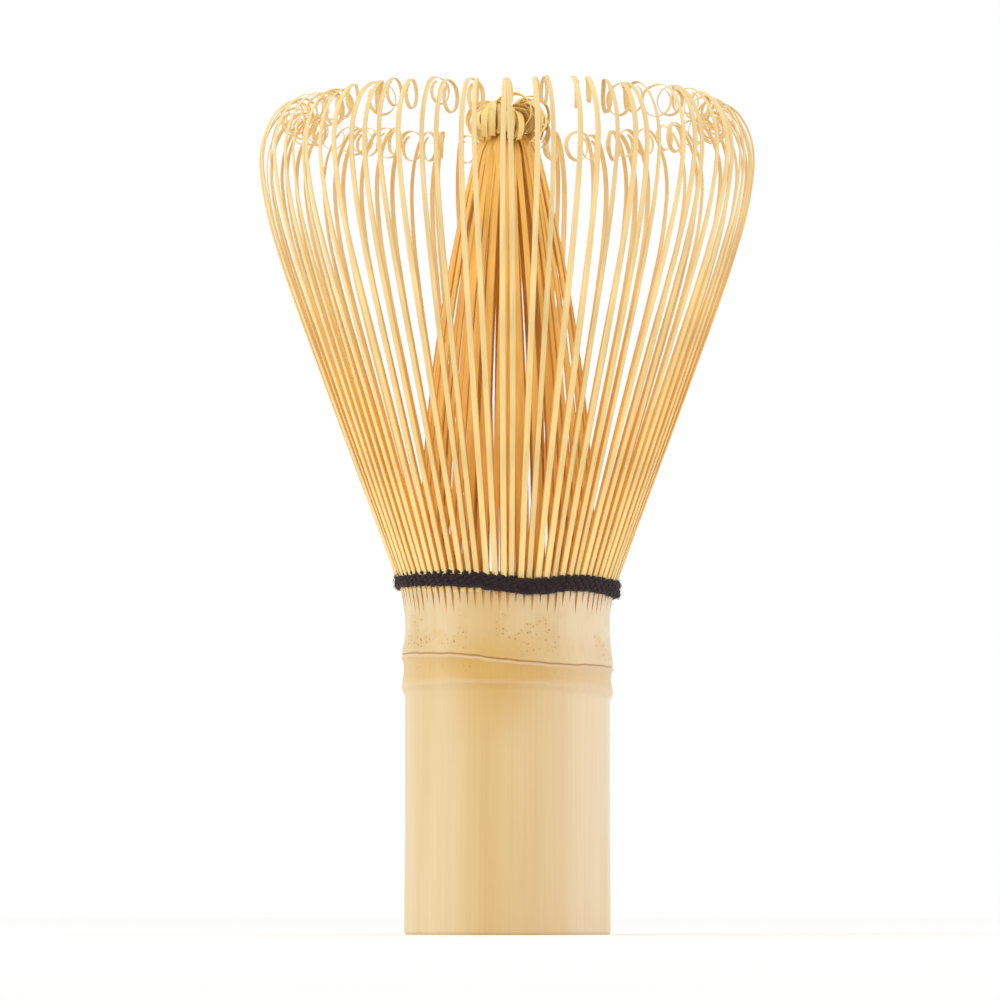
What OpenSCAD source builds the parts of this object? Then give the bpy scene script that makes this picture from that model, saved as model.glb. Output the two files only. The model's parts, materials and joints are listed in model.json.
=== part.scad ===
// Bamboo tea whisk. The handle, its node wall and both rows of tines are cut from one bamboo culm, and
// a dark cotton thread is woven round the roots of the outer row. Millimetres, +Z up, origin at the
// middle of the cut end.

/* [Handle] */
// Radius of the plain part of the culm
handle_r = 13; // [11:0.1:16]
// Thickness of the culm's wall at the cut end
culm_wall = 3.4; // [3.1:0.01:5]
// Height of the solid handle, up to where the slits begin
handle_h = 41; // [34:0.1:60]
// Chamfer round the cut end
cut_chamfer = 0.5; // [0.2:0.1:1]
// From the foot of the slits down to the lower ridge of the node
lower_ridge_drop = 9.8; // [9:0.1:11]
// From the foot of the slits down to the upper ridge of the node
upper_ridge_drop = 5.3; // [4.5:0.1:6]
// How far the ridges of the node stand proud
ridge_bulge = 0.4; // [0.1:0.05:1]
// From the foot of the slits down to the underside of the node wall
wall_drop = 9.5; // [6:0.1:12]
// Thickness of the node wall inside the culm
wall_t = 1.8; // [1:0.1:3]
// Height of the open comb, from the foot of the slits to the thread
comb_h = 2.85; // [1.5:0.05:4]

/* [Outer tines] */
// Width of an outer tine
outer_w = 0.74; // [0.5:0.001:0.78]
// Thickness of an outer tine at its root
outer_root_t = 0.5; // [0.3:0.05:0.6]
// Thickness of an outer tine at its curled tip
outer_tip_t = 0.14; // [0.1:0.02:0.3]
// How far the middle of the outer row's roots stands outside the plain culm
root_spread = 1.15; // [0.9:0.05:2]
// Outward lean of the straight stretch from upright
outer_lean = 20; // [10:1:24]
// Length of the straight stretch
straight_len = 44.1; // [30:0.1:60]
// Radius of the shoulder that turns the tine upright
shoulder_r = 28; // [20:1:40]
// Inward lean where the curl begins
shoulder_in = 13; // [5:1:20]
// Radius at which the curled tip begins
curl_r = 1.85; // [1.2:0.05:2.5]
// Turn of the curled tip
curl_turn = 300; // [180:10:320]

/* [Inner tines] */
// Width of an inner tine
inner_w = 0.42; // [0.2:0.01:0.44]
// Thickness of an inner tine
inner_t = 0.22; // [0.15:0.01:0.4]
// From the middle of the outer row to the middle of the inner row, at the roots
row_step = 3.05; // [2.9:0.05:3.2]
// Radius of the gathered neck
neck_r = 3.95; // [3.8:0.05:6]
// Height from the roots up to the gathered neck
inner_rise = 56.3; // [40:0.1:60]
// Radius of the flare over the neck
flare_r = 2.2; // [1.5:0.1:3]
// Radius of the curl at the tip of an inner tine
knot_curl_r = 0.75; // [0.5:0.05:1.2]
// Clear height under the inner row that lets the core sway
sway_gap = 0.9; // [0.8:0.1:1.2]

/* [Thread] */
// Thickness of the thread outside the teeth, as it lies flattened
thread_t = 0.5; // [0.3:0.05:0.7]
// Height of one course of thread
course_h = 0.95; // [0.6:0.01:1.2]
// Gap between the thread and a tooth
thread_gap = 0.04; // [0.03:0.01:0.05]

/* [Hidden] */
OUTER_SECTORS = 16;
OUTER_PER_SECTOR = 5;
INNER_SECTORS = 8;
INNER_PER_SECTOR = 6;
OUTER_COUNT = OUTER_SECTORS * OUTER_PER_SECTOR;
INNER_COUNT = INNER_SECTORS * INNER_PER_SECTOR;
FULL_TURN = 360;
// Sides of a full circle, and steps of each bend of the tines
ROUND_SIDES = 96;
SHOULDER_STEPS = 6;
CURL_STEPS = 14;
BOW_STEPS = 8;
FLARE_STEPS = 4;
KNOT_STEPS = 7;

skin = "#EBCF98";
flesh = "#D9A055";
pith = "#E6D3A6";
cotton = "#33262A";

// The culm: the plain grip ends under the lower ridge, and the waist lies over the upper one.
lower_ridge_z = handle_h - lower_ridge_drop;
upper_ridge_z = handle_h - upper_ridge_drop;
ridge_half = 1.9;
ridge_foot = 2.66;
grip_len = lower_ridge_z - ridge_foot;
ridge_step_z = (lower_ridge_z + upper_ridge_z) / 2;
waist_drop = 1;
waist_z = handle_h - waist_drop;
waist_swell = 0.05;
waist_r = handle_r + waist_swell;
// How much of the full bulge stands on the slope below the lower ridge, between the two ridges and on
// the slope over the upper one.
low_slope_share = 0.4;
step_share = 1 / 3;
high_slope_share = 0.6;
// The hollow, and the ledge that the node wall rests on.
bore_r = handle_r - culm_wall;
bore_depth = handle_h - wall_drop;
ledge = 0.7;
cavity_r = bore_r + ledge;
wall_edge_gap = 0.05;
// The culm widens from the waist to the roots of the outer tines.
outer_root_r = handle_r + root_spread;
outer_face_r = outer_root_r + outer_root_t / 2;
// How much of this widening is reached at the foot of the slits and under the thread.
comb_share = 0.1;
seat_share = 0.66;
comb_r = waist_r + (outer_face_r - waist_r) * comb_share;
seat_r = waist_r + (outer_face_r - waist_r) * seat_share;
// The thread lies on the seat of the teeth, and the teeth end just over it.
thread_z = handle_h + comb_h;
thread_top = thread_z + 2 * course_h;
tooth_over = 0.15;
tooth_bevel = 0.1;
tooth_top = thread_top + tooth_over;
tooth_t = 0.6;
// The teeth rise this far inside the rim of the solid culm, and are let this deep into it.
comb_step = 0.04;
comb_bed = 0.6;
// The hinge of each free tine lies in this gap over the fixed teeth.
root_gap = 0.1;
root_z = tooth_top + root_gap;
// Fixed roots of the inner row.
inner_root_r = outer_root_r - row_step;
inner_face_r = inner_root_r + inner_t / 2;
inner_stub_t = 0.5;
inner_stub_top = root_z - sway_gap;
edge_round = course_h / 3;
// The thread behind the outer teeth, and where it passes between two of them.
behind_r = seat_r - tooth_t - thread_gap;
behind_t = 0.7;
slit_w = 2 * (seat_r - tooth_t) * sin(FULL_TURN / OUTER_COUNT / 2) - outer_w;
pass_t = slit_w - 2 * thread_gap;
flare_turn = 60;
knot_turn = 150;
// How far each curl closes in on itself by its end, and how much the inner tines thin.
curl_close = 0.72;
knot_close = 0.8;
inner_thin = 0.7;

// Points of an arc of radius r that starts at p with heading a, in degrees outward from upright, and
// turns the heading by turn in n steps. A second radius makes it a spiral. Each point is [r, z, heading].
function step_arc(p, a, turn, r, r_end, n, k = 1) =
    k > n ? [] :
    let (
        rk = r + (r_end - r) * (k - 0.5) / n,
        chord = 2 * rk * sin(abs(turn) / n / 2),
        mid = a + turn * (k - 0.5) / n,
        q = [p[0] + chord * sin(mid), p[1] + chord * cos(mid)]
    )
    concat([[q[0], q[1], a + turn * k / n]], step_arc(q, a, turn, r, r_end, n, k + 1));

// A point of the centreline moved sideways by half the thickness there.
function side(p, t, s) = [p[0] + s * t / 2 * cos(p[2]), p[1] - s * t / 2 * sin(p[2])];

// The outline of a strip that follows a centreline and thins from t0 to t1.
function strip(path, t0, t1) =
    let (n = len(path) - 1)
    concat(
        [for (i = [0 : n]) side(path[i], t0 + (t1 - t0) * i / n, 1)],
        [for (i = [n : -1 : 0]) side(path[i], t0 + (t1 - t0) * i / n, -1)]
    );

// Centreline of an outer tine: a straight stretch, a shoulder and a curl that rolls inward.
shoulder_start = [
    outer_root_r + straight_len * sin(outer_lean),
    root_z + straight_len * cos(outer_lean)
];
shoulder = step_arc(shoulder_start, outer_lean, -outer_lean - shoulder_in, shoulder_r, shoulder_r,
    SHOULDER_STEPS);
outer_path = concat(
    [[outer_root_r, root_z, outer_lean], [shoulder_start[0], shoulder_start[1], outer_lean]],
    shoulder,
    step_arc(shoulder[SHOULDER_STEPS - 1], -shoulder_in, -curl_turn, curl_r, curl_r * curl_close, CURL_STEPS)
);

// Centreline of an inner tine: a long inward bow up to the neck, a flare and a curl that rolls outward.
neck_lean = 2 * atan((inner_root_r - neck_r) / inner_rise);
bow_r = inner_rise / sin(neck_lean);
bow = step_arc([inner_root_r, root_z], 0, -neck_lean, bow_r, bow_r, BOW_STEPS);
flare = step_arc(bow[BOW_STEPS - 1], -neck_lean, neck_lean + flare_turn, flare_r, flare_r, FLARE_STEPS);
inner_path = concat(
    [[inner_root_r, root_z, 0]],
    bow,
    flare,
    step_arc(flare[FLARE_STEPS - 1], flare_turn, knot_turn, knot_curl_r, knot_curl_r * knot_close, KNOT_STEPS)
);

// A flat piece of the given width that stands in the upright plane at angle a.
module standing(a, width) {
    rotate([0, 0, a])
        rotate([90, 0, 0])
            translate([0, 0, -width / 2])
                linear_extrude(width)
                    children();
}

module culm_outline() {
    polygon([
        [bore_r + cut_chamfer / 2, 0],
        [handle_r - cut_chamfer, 0],
        [handle_r, cut_chamfer],
        [handle_r, grip_len],
        [handle_r + ridge_bulge * low_slope_share, lower_ridge_z - ridge_half / 2],
        [handle_r + ridge_bulge, lower_ridge_z],
        [handle_r + ridge_bulge * step_share, ridge_step_z],
        [handle_r + ridge_bulge, upper_ridge_z - ridge_half / 4],
        [handle_r + ridge_bulge, upper_ridge_z],
        [handle_r + ridge_bulge * high_slope_share, upper_ridge_z + ridge_half / 2],
        [waist_r, waist_z],
        [comb_r, handle_h],
        [cavity_r, handle_h],
        [cavity_r, bore_depth],
        [bore_r, bore_depth],
        [bore_r, cut_chamfer / 2]
    ]);
}

// One fixed tooth of the outer row, from inside the solid wall up to the top of the thread.
module outer_tooth_outline() {
    polygon([
        [comb_r - tooth_t, handle_h - comb_bed],
        [comb_r - tooth_t / 2, handle_h - comb_bed],
        [comb_r - comb_step, handle_h],
        [seat_r, thread_z],
        [seat_r, thread_top],
        [outer_face_r - tooth_bevel, tooth_top],
        [outer_face_r - outer_root_t, tooth_top],
        [seat_r - tooth_t, thread_top],
        [seat_r - tooth_t, thread_z]
    ]);
}

module inner_tooth_outline() {
    polygon([
        [inner_face_r - inner_stub_t, handle_h - comb_bed],
        [inner_face_r, handle_h - comb_bed],
        [inner_face_r, inner_stub_top],
        [inner_face_r - inner_stub_t, inner_stub_top]
    ]);
}

module handle() {
    color(skin) {
        rotate_extrude($fn = ROUND_SIDES) culm_outline();
        for (i = [0 : OUTER_COUNT - 1])
            standing((i + 0.5) * FULL_TURN / OUTER_COUNT, outer_w) outer_tooth_outline();
        for (i = [0 : INNER_COUNT - 1])
            standing((i + 0.5) * FULL_TURN / INNER_COUNT, inner_w) inner_tooth_outline();
    }
}

// The wall that closes the culm at its node. It rests on the ledge over the hollow.
module node_wall() {
    color(pith)
        translate([0, 0, bore_depth])
            cylinder(h = wall_t, r = cavity_r - wall_edge_gap, $fn = ROUND_SIDES);
}

// One course of thread in section, flattened against the teeth.
module course_outline(r, t) {
    polygon([
        [r, 0],
        [r + t - edge_round / 2, 0],
        [r + t, edge_round],
        [r + t, course_h - edge_round],
        [r + t - edge_round / 2, course_h],
        [r, course_h]
    ]);
}

// The thread runs outside the teeth and behind them, and crosses over in every gap.
module binding_thread() {
    color(cotton) {
        for (k = [0 : 1])
            translate([0, 0, thread_z + k * course_h])
                rotate_extrude($fn = ROUND_SIDES) course_outline(seat_r + thread_gap, thread_t);
        translate([0, 0, thread_z])
            rotate_extrude($fn = ROUND_SIDES)
                translate([behind_r - behind_t, 0]) square([behind_t, 2 * course_h]);
        for (i = [0 : OUTER_COUNT - 1])
            standing(i * FULL_TURN / OUTER_COUNT, pass_t)
                translate([behind_r - behind_t / 2, thread_z + course_h / 2])
                    square([tooth_t + 2 * thread_gap + behind_t / 2 + thread_t / 2, course_h]);
    }
}

module outer_tines(sector) {
    color(skin)
        for (i = [0 : OUTER_PER_SECTOR - 1])
            standing(((sector - 1) * OUTER_PER_SECTOR + i + 0.5) * FULL_TURN / OUTER_COUNT, outer_w)
                polygon(strip(outer_path, outer_root_t, outer_tip_t));
}

module inner_tines(sector) {
    color(flesh)
        for (i = [0 : INNER_PER_SECTOR - 1])
            standing(((sector - 1) * INNER_PER_SECTOR + i + 0.5) * FULL_TURN / INNER_COUNT, inner_w)
                polygon(strip(inner_path, inner_t, inner_t * inner_thin));
}

handle();
node_wall();
binding_thread();
for (i = [1 : OUTER_SECTORS])
    outer_tines(i);
for (i = [1 : INNER_SECTORS])
    inner_tines(i);
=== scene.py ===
"""A bamboo tea whisk: a hollow culm handle, two rows of split tines and the thread woven round them."""

import json
import math

import bpy
import numpy as np
from bpy.props import FloatProperty, FloatVectorProperty, IntProperty, PointerProperty
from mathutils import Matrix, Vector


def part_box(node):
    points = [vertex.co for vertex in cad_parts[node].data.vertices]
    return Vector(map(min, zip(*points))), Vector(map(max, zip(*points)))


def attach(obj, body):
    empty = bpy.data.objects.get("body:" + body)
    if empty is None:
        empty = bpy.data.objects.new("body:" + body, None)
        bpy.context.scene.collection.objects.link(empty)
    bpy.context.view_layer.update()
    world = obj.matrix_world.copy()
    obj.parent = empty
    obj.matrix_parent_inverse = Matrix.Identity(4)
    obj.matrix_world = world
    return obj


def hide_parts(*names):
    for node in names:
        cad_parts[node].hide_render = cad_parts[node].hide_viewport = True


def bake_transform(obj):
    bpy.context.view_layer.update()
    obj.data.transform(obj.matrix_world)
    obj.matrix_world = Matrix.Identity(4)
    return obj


bl_info = {
    "name": "Bamboo Tea Whisk",
    "version": (1, 0, 0),
    "blender": (4, 5, 0),
    "location": "View3D > Sidebar > Whisk",
    "description": "Builds a bamboo tea whisk round its packed frame",
    "category": "Object",
}

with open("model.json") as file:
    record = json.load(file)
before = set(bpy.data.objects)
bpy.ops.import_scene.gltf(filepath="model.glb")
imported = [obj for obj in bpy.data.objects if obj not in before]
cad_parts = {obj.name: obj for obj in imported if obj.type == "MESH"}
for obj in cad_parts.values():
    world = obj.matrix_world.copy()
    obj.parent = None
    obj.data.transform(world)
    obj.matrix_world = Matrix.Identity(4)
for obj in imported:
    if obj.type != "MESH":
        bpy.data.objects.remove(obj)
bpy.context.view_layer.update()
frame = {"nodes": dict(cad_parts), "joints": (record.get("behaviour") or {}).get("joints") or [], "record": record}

MM = 0.001
MOUNTS = {mount["name"]: mount for mount in frame["record"]["mounts"]}
GRIP_RADIUS = MOUNTS["handle_grip"]["dims"]["r_mm"] * MM
BORE_RADIUS = MOUNTS["handle_bore"]["dims"]["r_mm"] * MM
OUTER_NODES = sorted(name for name in frame["nodes"] if name.startswith("outer_tines"))
INNER_NODES = sorted(name for name in frame["nodes"] if name.startswith("inner_tines"))
ROOT_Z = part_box(OUTER_NODES[0])[0][2]
THREAD_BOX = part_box("binding_thread")
WALL_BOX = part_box("node_wall")
LIGHT_AIM_Z = 55 * MM
OUTER_FLEX = next(joint for joint in frame["joints"] if joint["child"].startswith("outer_row"))
ROOT_RADIUS = math.hypot(*OUTER_FLEX["pos_m"][:2])
ROW_STEP = 3.05 * MM
INNER_ROOT_RADIUS = ROOT_RADIUS - ROW_STEP
TAU = math.tau


# Colours and nodes


def linear(colour):
    """Turns an sRGB hex colour into the three linear values that a shader takes."""
    channels = [int(colour[i : i + 2], 16) / 255 for i in (1, 3, 5)]
    return tuple(c / 12.92 if c <= 0.04045 else ((c + 0.055) / 1.055) ** 2.4 for c in channels)


MATH = "ShaderNodeMath"
VECTOR = "ShaderNodeVectorMath"
RANGE = "ShaderNodeMapRange"


def add(tree, kind, feed=None, out=0, **settings):
    """Adds a node with its settings, feeds its inputs with values or sockets, and returns one output.

    out is the number or the name of that output, or None for the node itself."""
    made = tree.nodes.new(kind)
    for key, value in settings.items():
        setattr(made, key, value)
    for key, value in (feed or {}).items():
        socket = made.inputs[key]
        if isinstance(value, bpy.types.NodeSocket):
            tree.links.new(value, socket)
        elif socket.type == "RGBA":
            socket.default_value = (*value, 1.0)
        else:
            socket.default_value = value
    return made if out is None else made.outputs[out]


def fold(tree, kind, operation, *values):
    """Takes values through nodes of two inputs, one after another, as a sum or a product does."""
    total = values[0]
    for value in values[1:]:
        total = add(tree, kind, {0: total, 1: value}, operation=operation)
    return total


def sum_of_products(tree, *terms):
    """Adds up products, each given as a tuple of its factors."""
    return fold(tree, MATH, "ADD", *(fold(tree, MATH, "MULTIPLY", *term) for term in terms))


def layered(tree, colour, *layers):
    """Lays colours over a first one, each as strongly as its own mask says."""
    for mask, layer in layers:
        colour = add(tree, "ShaderNodeMix", {0: mask, 6: colour, 7: layer}, out=2, data_type="RGBA")
    return colour


def new_material(name, roughness, specular=0.5):
    """A material with one Principled shader, returned with its tree and that shader."""
    material = bpy.data.materials.new(name)
    material.use_nodes = True
    tree = material.node_tree
    shader = tree.nodes["Principled BSDF"]
    shader.inputs["Roughness"].default_value = roughness
    shader.inputs["Specular IOR Level"].default_value = specular
    return material, tree, shader


def new_object(name, mesh, material=None):
    """Links a mesh into the scene, at the origin."""
    made = bpy.data.objects.new(name, mesh)
    bpy.context.scene.collection.objects.link(made)
    if material is not None:
        mesh.materials.append(material)
    return made


def store(mesh, name, kind, domain, values):
    """Stores one attribute on a mesh from a flat or a nested list."""
    field = "vector" if kind == "FLOAT_VECTOR" else "value"
    data = np.asarray(values, dtype=np.float32).ravel()
    mesh.attributes.new(name, kind, domain).data.foreach_set(field, data)


def grown(source, name, tree, inputs):
    """Runs a node tree on an object with its inputs set, and returns the result as a plain mesh object."""
    modifier = source.modifiers.new("Nodes", "NODES")
    modifier.node_group = tree
    for item in tree.interface.items_tree:
        if item.item_type == "SOCKET" and item.in_out == "INPUT" and item.name in inputs:
            modifier[item.identifier] = inputs[item.name]
    evaluated = source.evaluated_get(bpy.context.evaluated_depsgraph_get())
    mesh = bpy.data.meshes.new_from_object(evaluated)
    mesh.name = name
    source.modifiers.remove(modifier)
    return new_object(name, mesh)


def smoothed(mesh, angle=math.radians(35)):
    """Shades a mesh smooth, and keeps its edges sharp where faces meet at more than the angle."""
    mesh.shade_smooth()
    mesh.set_sharp_from_angle(angle=angle)


# Settings


class WhiskCulmSettings(bpy.types.PropertyGroup):
    """Sizes and colours of the handle."""

    radius: FloatProperty(
        name="Grip radius", description="Radius of the plain part of the culm",
        default=GRIP_RADIUS, unit="LENGTH"
    )
    bore: FloatProperty(
        name="Bore radius", description="Radius of the hollow in the cut end",
        default=BORE_RADIUS, unit="LENGTH"
    )
    foot: FloatProperty(
        name="Comb foot", description="Height at which the slits begin", default=41.0 * MM, unit="LENGTH"
    )
    lower_ridge: FloatProperty(
        name="Lower ridge", description="Height of the lower ridge of the node",
        default=31.4 * MM, unit="LENGTH"
    )
    upper_ridge: FloatProperty(
        name="Upper ridge", description="Height of the upper ridge of the node",
        default=35.0 * MM, unit="LENGTH"
    )
    bulge: FloatProperty(
        name="Ridge bulge", description="How far the ridges stand proud", default=0.38 * MM, unit="LENGTH"
    )
    pale: FloatVectorProperty(
        name="Pale skin", description="Lighter streaks of the skin",
        default=linear("#F2E0BB"), subtype="COLOR"
    )
    straw: FloatVectorProperty(
        name="Straw skin", description="Middle tone of the skin", default=linear("#E3CA99"), subtype="COLOR"
    )
    # Also painted as shade on the side of the culm that faces the camera.
    tan: FloatVectorProperty(
        name="Node tan", description="Warmer skin round the node",
        default=linear("#D6AB5C"), subtype="COLOR"
    )
    # Also painted as shade on the side to the right of the front.
    lip_and_right_shade: FloatVectorProperty(
        name="Node lip", description="Pinkish lip of the upper ridge",
        default=linear("#E6C3A2"), subtype="COLOR"
    )
    # Also painted as a shadow line under the lower ridge.
    scar_and_ridge_shadow: FloatVectorProperty(
        name="Node scar", description="Dark line over the lip, and the specks",
        default=linear("#8A5A35"), subtype="COLOR",
    )


class WhiskTineSettings(bpy.types.PropertyGroup):
    """Sizes and colours of the outer row."""

    count: IntProperty(name="Tines", description="Number of outer tines", default=80, min=16)
    width: FloatProperty(
        name="Width", description="Width of a tine at its root", default=0.74 * MM, unit="LENGTH"
    )
    thickness: FloatProperty(
        name="Thickness", description="Thickness of a tine at its root", default=0.56 * MM, unit="LENGTH"
    )
    lean: FloatProperty(
        name="Lean", description="Outward lean from upright", default=math.radians(20.3), subtype="ANGLE"
    )
    straight: FloatProperty(
        name="Straight length", description="Length of the straight stretch",
        default=36.5 * MM, unit="LENGTH"
    )
    shoulder: FloatProperty(
        name="Shoulder radius", description="Radius of the bend under the rim",
        default=13 * MM, unit="LENGTH"
    )
    curl: FloatProperty(
        name="Curl radius", description="Radius at which the tip curls in", default=2.0 * MM, unit="LENGTH"
    )
    seed: IntProperty(name="Seed", description="Seed of the hand-made irregularity", default=7)
    skin: FloatVectorProperty(
        name="Skin", description="Pale outer face of a tine", default=linear("#F8DA92"), subtype="COLOR"
    )
    flesh: FloatVectorProperty(
        name="Flesh", description="Split sides of a tine near its root",
        default=linear("#FAC666"), subtype="COLOR",
    )
    deep: FloatVectorProperty(
        name="Deep flesh", description="Darkest of the split sides",
        default=linear("#F3AD3E"), subtype="COLOR"
    )
    tip: FloatVectorProperty(
        name="Tip", description="Thin shaved tip of a tine", default=linear("#F4D89C"), subtype="COLOR"
    )


class WhiskCoreSettings(bpy.types.PropertyGroup):
    """Sizes and colours of the inner row."""

    count: IntProperty(name="Tines", description="Number of inner tines", default=68, min=16)
    width: FloatProperty(
        name="Width", description="Width of an inner tine at its root", default=0.72 * MM, unit="LENGTH"
    )
    thickness: FloatProperty(
        name="Thickness", description="Thickness of an inner tine at its root",
        default=0.3 * MM, unit="LENGTH"
    )
    neck: FloatProperty(
        name="Neck radius", description="Radius of the gathered neck", default=4.2 * MM, unit="LENGTH"
    )
    rise: FloatProperty(
        name="Rise", description="Height from the roots to the neck", default=53.4 * MM, unit="LENGTH"
    )
    curl: FloatProperty(
        name="Curl radius", description="Radius at which the tips turn over",
        default=2.1 * MM, unit="LENGTH"
    )
    gather: FloatProperty(
        name="Gather", description="Extra inward lean under the knot",
        default=math.radians(45), subtype="ANGLE"
    )
    swirl: FloatProperty(
        name="Swirl", description="How far the knot is turned round",
        default=math.radians(52), subtype="ANGLE"
    )
    seed: IntProperty(name="Seed", description="Seed of the hand-made irregularity", default=31)
    flesh: FloatVectorProperty(
        name="Flesh", description="Amber of the shaved inner wood",
        default=linear("#FCD278"), subtype="COLOR"
    )
    deep: FloatVectorProperty(
        name="Deep flesh", description="Darkest amber of the core",
        default=linear("#F7B74A"), subtype="COLOR"
    )
    pale: FloatVectorProperty(
        name="Pale flesh", description="Lighter edges and tips", default=linear("#FCDC8E"), subtype="COLOR"
    )


class WhiskThreadSettings(bpy.types.PropertyGroup):
    """Sizes and colours of the thread."""

    courses: IntProperty(name="Courses", description="Turns of thread round the teeth", default=4, min=1)
    height: FloatProperty(
        name="Band height", description="Height of the whole band", default=1.85 * MM, unit="LENGTH"
    )
    middle: FloatProperty(
        name="Band middle", description="Height of the middle of the band",
        default=44.05 * MM, unit="LENGTH"
    )
    radius: FloatProperty(
        name="Band radius", description="Radius of the middle of the thread",
        default=13.8 * MM, unit="LENGTH"
    )
    fuzz: IntProperty(name="Fuzz", description="Number of loose fibres", default=4400, min=0)
    seed: IntProperty(name="Seed", description="Seed of the loose fibres", default=5)
    dark: FloatVectorProperty(
        name="Dark", description="Colour of the dyed cotton", default=linear("#261C1D"), subtype="COLOR"
    )
    worn: FloatVectorProperty(
        name="Worn", description="Lighter fibres on the crowns", default=linear("#4A3835"), subtype="COLOR"
    )


class WhiskStageSettings(bpy.types.PropertyGroup):
    """Camera and light."""

    distance: FloatProperty(
        name="Camera distance", description="From the axis to the camera", default=738 * MM, unit="LENGTH"
    )
    height: FloatProperty(
        name="Camera height", description="Height of the camera", default=3.1 * MM, unit="LENGTH"
    )
    tilt: FloatProperty(
        name="Camera tilt", description="How far the camera looks up",
        default=math.radians(4.05), subtype="ANGLE"
    )
    lens: FloatProperty(name="Lens", description="Focal length in millimetres", default=208.5, min=10)
    key: FloatProperty(
        name="Key light", description="Power of the main light",
        default=0.45, min=0, unit="POWER"
    )
    fill: FloatProperty(
        name="Fill light", description="Power of the fill light",
        default=0.04, min=0, unit="POWER"
    )
    world: FloatProperty(name="World", description="Strength of the white surroundings", default=1.0, min=0)


# Materials


def stretched_noise(tree, place, stretch, detail):
    """Noise with its own size along each axis, for fibres and streaks."""
    mapped = add(tree, "ShaderNodeMapping", {"Vector": place, "Scale": stretch})
    return add(tree, "ShaderNodeTexNoise", {"Vector": mapped, "Scale": 1.0, "Detail": detail})


def dress(tree, shader, colour, height=None, strength=0.0, depth=0.0):
    """Gives the shader its colour, and its bumps where a height is given."""
    tree.links.new(colour, shader.inputs["Base Color"])
    if height is not None:
        bump = add(tree, "ShaderNodeBump", {"Height": height, "Strength": strength, "Distance": depth})
        tree.links.new(bump, shader.inputs["Normal"])


def mottle(tree, shader, scale, detail, stops, strength=0.0, depth=0.0):
    """Colours the shader between two (share, colour) stops of one noise, and bumps it if there is a depth."""
    place = add(tree, "ShaderNodeTexCoord", out="Object")
    noise = add(tree, "ShaderNodeTexNoise", {"Vector": place, "Scale": scale, "Detail": detail})
    ramp = add(tree, "ShaderNodeValToRGB", {0: noise}, out=None)
    for stop, (share, colour) in zip(ramp.color_ramp.elements, stops):
        stop.position = share
        stop.color = (*colour, 1.0)
    dress(tree, shader, ramp.outputs[0], noise if depth else None, strength, depth)


def tine_material(name, skin, flesh, deep, tip, fade):
    """Split bamboo: a pale, faintly glossy skin, and amber fibres where the wood was cut and shaved."""
    material, tree, shader = new_material(name, 0.42, 0.4)
    # Thin shaved wood lets warm light through.
    shader.inputs["Subsurface Weight"].default_value = 0.25
    shader.inputs["Subsurface Radius"].default_value = (1.0, 0.75, 0.3)
    shader.inputs["Subsurface Scale"].default_value = 0.2 * MM
    along, skin_side, tone = (
        add(tree, "ShaderNodeAttribute", out="Fac", attribute_name=mask) for mask in ("along", "skin", "tone")
    )
    lay = add(tree, "ShaderNodeAttribute", out="Vector", attribute_name="lay")
    shifted = fold(tree, VECTOR, "ADD", lay, tone)
    # Bamboo fibres are 0.1 to 0.3 mm apart and run the length of the tine. Paler stretches are longer.
    fibre = stretched_noise(tree, shifted, (5.0, 0.16, 5.0), 3.0)
    cloud = stretched_noise(tree, shifted, (0.3, 0.12, 0.3), 1.0)
    to_tip = {"Value": along, "From Min": fade[0], "From Max": fade[1]}
    to_tip = add(tree, RANGE, to_tip, interpolation_type="SMOOTHSTEP")
    ripe = add(tree, RANGE, {"Value": tone, "To Min": 0.7})
    wood = layered(tree, deep, (tone, flesh), (to_tip, layered(tree, flesh, (ripe, tip))))
    colour = layered(tree, wood, (skin_side, layered(tree, skin, (to_tip, tip))))
    shades = (
        add(tree, RANGE, {"Value": value, "From Min": low, "From Max": high, "To Min": dark, "To Max": light})
        for value, low, high, dark, light in (
            (fibre, 0.3, 0.7, 0.9, 1.06), (cloud, 0.3, 0.7, 0.9, 1.05), (tone, 0.0, 1.0, 0.92, 1.05),
        )
    )
    colour = fold(tree, VECTOR, "MULTIPLY", colour, fold(tree, MATH, "MULTIPLY", *shades))
    dress(tree, shader, colour, fibre, 0.25, 0.03 * MM)
    return material


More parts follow.
